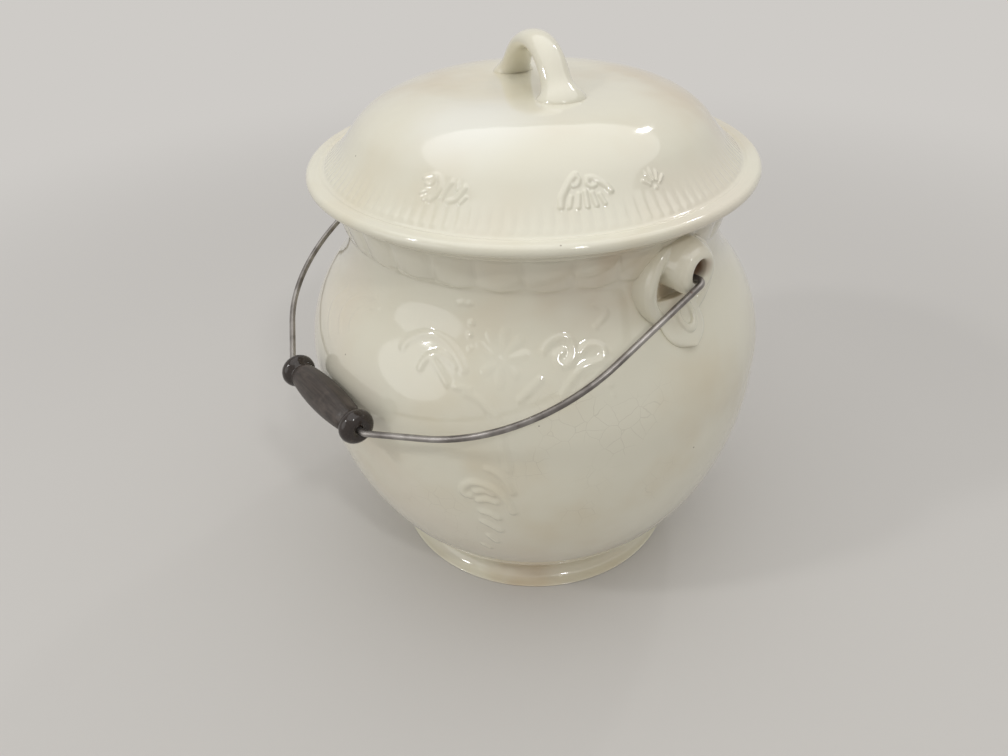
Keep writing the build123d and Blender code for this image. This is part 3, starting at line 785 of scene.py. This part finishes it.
class JAR_OT_ears(bpy.types.Operator):
    """Build the right ear from dish, horn, leaf and drop, and turn a copy to the left"""

    bl_idname = "mesh.jar_ears"
    bl_label = "Ears"

    def execute(self, context):
        sizes = context.scene.jar_sizes
        pivot = context.scene.bail_sizes.pivot_level / MM
        wall = jar_wall(sizes)
        middle = Vector((111.5, 0, pivot - 3.5))  # of the dish's front
        lean = 5.0
        outward = Vector((cos(radians(lean)), 0, sin(radians(lean))))
        # Each ring of the dish has its step outward and its radius.
        section = [(-24, 23.8), (-6.5, 23.7), (-3.4, 23.5), (-1.3, 22.7), (-0.3, 21.4), (0, 19.9),
                   (-0.35, 18.4), (-1.4, 17.1), (-3.4, 16.2), (-5.8, 15.6), (-6.8, 14.4),
                   (-7.1, 12)]
        sunk = Vector((0, 0, -1.8))
        dish = lofted("ear_dish", [
            (middle + sunk + outward * step, 90 - lean, size, size) for step, size in section
        ], 64)
        z = middle.z
        eye = pivot + 4.1  # level of the bore's middle
        # The horn swells and tapers to its nose, and its last rings line the bore.
        horn = lofted("ear_horn", [
            ((x, 0, z + up), 90, tall, wide) for x, up, tall, wide in (
                (88, 8.7, 13.6, 13.8), (104, 8.7, 13.6, 13.8), (107, 8.6, 13.3, 13.5),
                (111, 8.3, 13.0, 13.1), (114.5, 7.8, 12.6, 12.5), (117.4, 7.1, 12.0, 11.6),
                (119.4, 6.5, 11.1, 10.6), (120.4, 6.2, 9.9, 9.3), (120.6, 6.4, 8.6, 7.6),
                (120.4, 7.0, 7.2, 5.8), (119.5, 7.6, 6.3, 4.7), (117.5, 7.6, 6.0, 4.3),
                (108.6, 7.6, 6.0, 4.3),
            )
        ], 56)
        leaf_rings = []  # from 9.5 to 32.5 mm below the dish's middle
        for step in range(15):
            down = 9.5 + 23.0 * step / 14
            level = z - down
            radius, slope = wall_at(wall, level)
            tilt = degrees(atan2(-slope, 1))
            half = 14 * sqrt(max(0.004, 1 - (max(0, down - 21.5) / 11.05) ** 2))
            proud = 4.0 + 2.8 * max(0, (22 - down) / 13) ** 1.2
            thick = (proud + 3.4) / 2 * min(1, half / 5)
            normal = Vector((1, 0, slope)).normalized()
            leaf_rings.append((
                Vector((radius, 0, level)) + normal * (proud - thick), tilt, thick, half
            ))
        leaf = lofted("ear_leaf", leaf_rings, 48)
        drop = self.drop(wall, z - 20.0)
        ear = join("ear_right_glazed", dish, horn, leaf, drop)
        melt(ear, 0.42, 4)
        inner = jar_wall(sizes, 3.0)
        core = turned("ear_core", [(0, 150)] + [p for p in inner if p[1] > 150]
                      + [(104, 236), (106, 242), (0, 242)], 200)
        modify(ear, "BOOLEAN", operation="DIFFERENCE", solver="EXACT", object=core)
        bpy.data.objects.remove(core)
        dress(ear, 50, glazed_ironstone(
            "Glazed ironstone, ears",
            stains_and_shade=[((side * x, side * y, level), inner, outer, strength, hue)
                    for side in (1, -1) for x, y, level, inner, outer, strength, hue in (
                        # The tan spot 9 mm below the dish's middle is painted shade in the recess
                        # under the horn; the rust spots in and round the bore are rust that the
                        # wire has left.
                        (104, -2, z - 9, 6, 15, 0.8, TAN), (119, 3, eye + 1, 2.5, 6.5, 0.6, RUST),
                        (111, 0, eye, 6, 9, 1.0, RUST), (116, -6, z - 14, 3, 12, 0.3, TAN),
                    )],
        ))
        only(ear)
        bpy.ops.object.duplicate()
        other = bpy.context.object
        other.name = other.data.name = "ear_left_glazed"
        open_up(other)
        turn(pi, "Z")
        shut()
        finish(ear, "jar", "ear_right")
        finish(other, "jar", "ear_left")
        return {"FINISHED"}

    def drop(self, wall, level):
        """Raised oval drop that lies on the leaf."""
        radius, slope = wall_at(wall, level)
        normal = Vector((1, 0, slope)).normalized()
        centre = (Vector((radius, 0, level)) + normal * 4.7) * MM
        deselect()
        bpy.ops.mesh.primitive_torus_add(
            major_segments=48, minor_segments=14, major_radius=4.6 * MM, minor_radius=1.45 * MM,
        )
        piece = bpy.context.object
        bpy.ops.object.mode_set(mode="EDIT")
        bpy.ops.transform.resize(value=(1.55, 1, 1), center_override=(0, 0, 0))
        turn(atan2(1, slope), "Y")
        bpy.ops.transform.translate(value=centre)
        shut()
        return piece


class JAR_OT_lid(bpy.types.Operator):
    """Turn the lid, rib its band and raise its sprays"""

    bl_idname = "mesh.jar_lid"
    bl_label = "Lid"

    def execute(self, context):
        sizes = context.scene.lid_sizes
        piece = turned("ironstone_lid", lid_outline(sizes), 6 * sizes.rib_count)
        co = places(piece)
        radius = np.hypot(co[:, 0], co[:, 1])
        lobe = np.abs(np.cos(np.arctan2(co[:, 1], co[:, 0]) * sizes.rib_count / 2))
        # The ribs rise just above the flange and fade out up to 10.5 mm above it.
        level = (co[:, 2] - sizes.crown_level) / MM + FLANGE_DROP
        weight = np.clip((level - 0.1) / 1.5, 0, 1) * np.clip((10.5 - level) / 6.0, 0, 1)
        weight *= (radius > 95 * MM) * (radius < 110 * MM) * lobe ** 0.8
        swell(piece, weight, sizes.rib_depth, "ribs")
        ornament(piece, LID_LINES, lid_dome(sizes)[-12:0:-1], 2, sizes.relief, 0.85)
        dress(piece, 50, glazed_ironstone(
            "Glazed ironstone, lid", white_at=[((26, -58, 280), 8, 42)],
            stains_and_shade=[((40, 70, 280), 20, 75, 0.3, TAN), ((-60, -40, 278), 10, 60, 0.25, TAN)],
        ))
        finish(piece, "lid", "lid")
        return {"FINISHED"}


class JAR_OT_handle(bpy.types.Operator):
    """Loft the strap handle over its arch and spread its feet on the crown"""

    bl_idname = "mesh.jar_lid_handle"
    bl_label = "Lid Handle"

    def execute(self, context):
        sizes = context.scene.lid_sizes
        crown = sizes.crown_level / MM
        thick = sizes.strap_thickness / MM
        wide = sizes.strap_width / MM
        top = sizes.strap_rise / MM - thick / 2
        half = [  # reach, rise, fall of the path, half thickness, half width
            (0.0, top, 0, thick / 2, wide / 2), (5.0, top - 0.4, 9, thick / 2, wide / 2),
            (10.0, top - 1.8, 20, thick / 2, wide / 2),
            (14.6, top - 4.0, 31, thick / 2 + 0.05, wide / 2),
            (18.6, top - 6.9, 41, thick / 2 + 0.15, wide / 2),
            (21.9, top - 10.3, 50, 5.0, wide / 2 + 0.1), (24.6, top - 13.9, 56, 5.3, 7.9),
            (27.0, 3.8, 60, 6.3, 8.6), (28.8, 2.3, 70, 7.8, 10.1), (30.0, 1.2, 80, 9.1, 11.5),
            (30.8, 0.1, 88, 9.9, 12.3), (31.0, -1.3, 90, 9.8, 12.2), (31.0, -3.2, 90, 9.0, 11.4),
        ]
        rings = []
        for side, spread, arm in ((-1, -0.45, half[:0:-1]), (1, 0.25, half)):
            for reach, rise, fall, deep, across in arm:
                more = spread * max(0, reach - 26.5)  # the far foot spreads less than the near
                rings.append(((side * reach, 0, crown + rise), 90 + side * fall, deep + more,
                              across + more / 2))
        piece = lofted("ironstone_handle", rings, 28)
        modify(piece, "SUBSURF", levels=2, render_levels=2)
        open_up(piece)
        turn(radians(-17), "Z")
        bpy.ops.transform.translate(value=(2.6 * MM, 1.6 * MM, 0))  # luted a little off centre
        shut()
        dress(piece, 60, glazed_ironstone("Glazed ironstone, handle"))
        finish(piece, "lid", "lid_handle")
        return {"FINISHED"}


class JAR_OT_wire(bpy.types.Operator):
    """Draw the bail's wire through its hooks, arms and the grip"""

    bl_idname = "mesh.jar_bail_wire"
    bl_label = "Bail Wire"

    def execute(self, context):
        sizes = context.scene.bail_sizes
        radius = sizes.wire_radius / MM
        piece = lofted("steel_bail", [
            ((x, 0, -y), 90 + fall, radius, radius) for x, y, fall in wire_path(sizes)
        ], 20)
        open_up(piece)
        turn(bail_angle(sizes) - pi / 2, "X")
        bpy.ops.transform.translate(value=(0, 0, sizes.pivot_level))
        shut()
        dress(piece, 50, oxidised_steel("Oxidised steel wire"))
        finish(piece, "bail", "bail_wire")
        return {"FINISHED"}


def grip_middle():
    """Middle of the frame's grip."""
    low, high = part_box("bail_grip")
    return (low + high) / 2


def bail_angle(sizes):
    """Angle of the resting bail below the horizontal."""
    middle = grip_middle()
    return atan2(sizes.pivot_level - middle.z, -middle.y)


def wire_path(sizes):
    """Centre line of the whole wire as (x, distance below the hinge axis, fall), in mm."""
    reach = sizes.reach / MM
    lean, slope = radians(3), radians(30)
    pin, knee = 110.1, 122.5  # the pin's end, and the arm at the hook, from the middle
    hook, bow, bend = 2.7, 100.0, 8.0  # radii of the hook, the bow and the bend at the grip
    grip = 39.0  # half the straight run through the grip
    # The leaning arm and the sloping run to the grip meet at a corner that the bow rounds.
    far = knee - tan(lean) * (reach + tan(slope) * grip - hook)
    corner = far / (1 - tan(lean) * tan(slope))
    sweep = pi / 2 - slope - lean
    tangent = bow * tan(sweep / 2)
    start = (corner + tangent * sin(lean),
             reach - tan(slope) * (corner - grip) - tangent * cos(lean))
    half = [(pin, 0, 0), (pin + 3, 0, 0), (knee - hook, 0, 0)]
    for i in range(1, 9):
        a = (pi / 2 + lean) * i / 8
        half.append((knee - hook + hook * sin(a), hook - hook * cos(a), degrees(a)))
    x, y, fall = half[-1]
    half += [(x + (start[0] - x) * i / 6, y + (start[1] - y) * i / 6, fall) for i in range(1, 7)]
    for i in range(1, 25):
        a = lean + sweep * i / 24
        half.append((start[0] + bow * (cos(a) - cos(lean)), start[1] + bow * (sin(a) - sin(lean)),
                     90 + degrees(a)))
    bend_tangent = bend * tan(slope / 2)
    end = (grip + bend_tangent * cos(slope), reach - bend_tangent * sin(slope))
    x, y, fall = half[-1]
    half += [(x + (end[0] - x) * i / 4, y + (end[1] - y) * i / 4, fall) for i in range(1, 5)]
    for i in range(1, 6):
        a = slope * (1 - i / 5)
        centre = (grip - bend_tangent, reach - bend)
        half.append((centre[0] + bend * sin(a), centre[1] + bend * cos(a), 180 - degrees(a)))
    half.append((0, reach, 180))
    return half + [(-x, y, 360 - fall) for x, y, fall in half[-2::-1]]


class JAR_OT_grip(bpy.types.Operator):
    """Turn the wooden grip about the wire"""

    bl_idname = "mesh.jar_bail_grip"
    bl_label = "Bail Grip"

    def execute(self, context):
        sizes = context.scene.bail_sizes
        half = sizes.grip_length / MM / 2
        barrel = sizes.grip_radius / MM
        centre = grip_middle()
        side = [
            (1.95, half - 1.2), (2.3, half - 1.0), (3.4, half - 0.2), (4.3, half), (5.4, half),
            (6.6, half - 0.5), (7.9, half - 1.5), (8.8, half - 2.8), (9.3, half - 4.4),
            (9.15, half - 6.0), (8.5, half - 7.4), (7.5, half - 8.5), (6.7, half - 9.2),
            (6.35, half - 9.8), (6.4, half - 10.4), (6.9, half - 11.0),
        ]
        inner, waist, steps = half - 11.0, 6.95, 22
        body = []
        for i in range(1, steps):
            along = inner - 2 * inner * i / steps
            body.append((waist + (barrel - waist) * cos(along / inner * pi / 2) ** 0.85, along))
        outline = side + body + [(r, -x) for r, x in side[::-1]]
        outline.append(outline[0])
        piece = turned("turned_grip", outline, 96, "X", centre)
        dress(piece, 40, stained_wood("Stained turned wood", centre))
        finish(piece, "grip", "bail_grip")
        return {"FINISHED"}


class JAR_OT_stage(bpy.types.Operator):
    """Lay the pale floor, hang the soft lights and set the camera"""

    bl_idname = "object.jar_stage"
    bl_label = "Stage"

    def execute(self, context):
        settings = context.scene.stage_settings
        deselect()
        bpy.ops.mesh.primitive_plane_add(size=40)
        floor = context.object
        floor.name = "studio_floor"
        floor.data.materials.append(pale_board("Pale studio board", settings.floor))
        # Each light has its place, diameter, share of the power and the level that it faces.
        for name, place, size, share, level in (
            ("top_light", (0.05, 0.1, 1.5), 2.4, 1.0, 0.1),
            ("front_light", (-0.3, -1.8, 0.75), 1.4, 0.36, 0.15),
            ("right_light", (1.27, -0.32, 1.45), 0.16, 0.3, 0.2),
            ("left_light", (-0.35, -1.35, 1.33), 0.16, 0.3, 0.2),
            ("back_light", (-0.24, 1.22, 1.42), 0.12, 0.1, 0.2),
        ):
            self.light(name, place, size, share * settings.key_power, (0, 0, level))
        world = bpy.data.worlds.new("Pale studio")
        world.use_nodes = True
        tree = world.node_tree
        tree.nodes.clear()
        add = partial(node, tree)
        soft = add("Background", Color=linear("#ECEBE9"), Strength=0.4)
        wall = add("Background", Color=settings.floor, Strength=1.0)
        mixed = add("MixShader", _0=seen_directly(add), _1=soft, _2=wall)
        add("OutputWorld", Surface=mixed)
        context.scene.world = world
        self.camera(context)
        context.scene.view_settings.view_transform = "Standard"
        return {"FINISHED"}

    def light(self, name, place, size, power, target):
        """Soft round light that faces a target."""
        bpy.ops.object.light_add(type="AREA", location=place)
        lamp = bpy.context.object
        lamp.name = lamp.data.name = name
        lamp.data.shape = "DISK"
        lamp.data.size = size
        lamp.data.energy = power
        aim = Vector(target) - Vector(place)
        lamp.rotation_euler = aim.to_track_quat("-Z", "Y").to_euler()

    def camera(self, context):
        """Camera above and in front of the right ear, looking down at the jar."""
        place = Vector((309.45, -259.66, 387.30)) * MM
        heading, dip, roll = radians(142.73), radians(35.75), -0.03831
        view = Vector((cos(heading) * cos(dip), sin(heading) * cos(dip), -sin(dip)))
        level = view.cross(Vector((0, 0, 1))).normalized()
        above = level.cross(view)
        right = level * cos(roll) + above * sin(roll)
        up = above * cos(roll) - level * sin(roll)
        bpy.ops.object.camera_add()
        camera = context.object
        camera.name = "jar_camera"
        turned_to = Matrix((right, up, -view)).transposed().to_4x4()
        camera.matrix_world = Matrix.Translation(place) @ turned_to
        camera.data.lens = 27.04
        camera.data.sensor_width = 36.0
        camera.data.clip_start = 0.01
        context.scene.camera = camera


class JAR_PT_panel(bpy.types.Panel):
    """Sidebar panel with the jar's sizes, finishes and pieces"""

    bl_idname = "JAR_PT_panel"
    bl_label = "Lidded Jar"
    bl_space_type = "VIEW_3D"
    bl_region_type = "UI"
    bl_category = "Jar"

    def draw(self, context):
        layout = self.layout
        for group in (JarSizes, LidSizes, BailSizes, FinishColours, StageSettings):
            settings = getattr(context.scene, GROUPS[group])
            box = layout.box()
            for key in group.__annotations__:
                box.prop(settings, key)
        for operator in OPERATORS:
            layout.operator(operator.bl_idname)


GROUPS = {
    JarSizes: "jar_sizes",
    LidSizes: "lid_sizes",
    BailSizes: "bail_sizes",
    FinishColours: "finish_colours",
    StageSettings: "stage_settings",
}
OPERATORS = (
    JAR_OT_stage, JAR_OT_body, JAR_OT_foot, JAR_OT_ears, JAR_OT_lid, JAR_OT_handle, JAR_OT_wire,
    JAR_OT_grip,
)


def register():
    """Register the classes and hang the settings on the scene."""
    for part in (*GROUPS, *OPERATORS, JAR_PT_panel):
        bpy.utils.register_class(part)
    for group, name in GROUPS.items():
        setattr(bpy.types.Scene, name, PointerProperty(type=group))


def unregister():
    """Take the settings off the scene and unregister the classes."""
    for name in GROUPS.values():
        delattr(bpy.types.Scene, name)
    for part in (JAR_PT_panel, *OPERATORS[::-1], *list(GROUPS)[::-1]):
        bpy.utils.unregister_class(part)


def main():
    """Build the jar and its stage, piece by piece."""
    register()
    bpy.ops.object.jar_stage()
    bpy.ops.mesh.jar_body()
    bpy.ops.mesh.jar_foot()
    bpy.ops.mesh.jar_ears()
    bpy.ops.mesh.jar_lid()
    bpy.ops.mesh.jar_lid_handle()
    bpy.ops.mesh.jar_bail_wire()
    bpy.ops.mesh.jar_bail_grip()


if __name__ == "__main__":
    main()
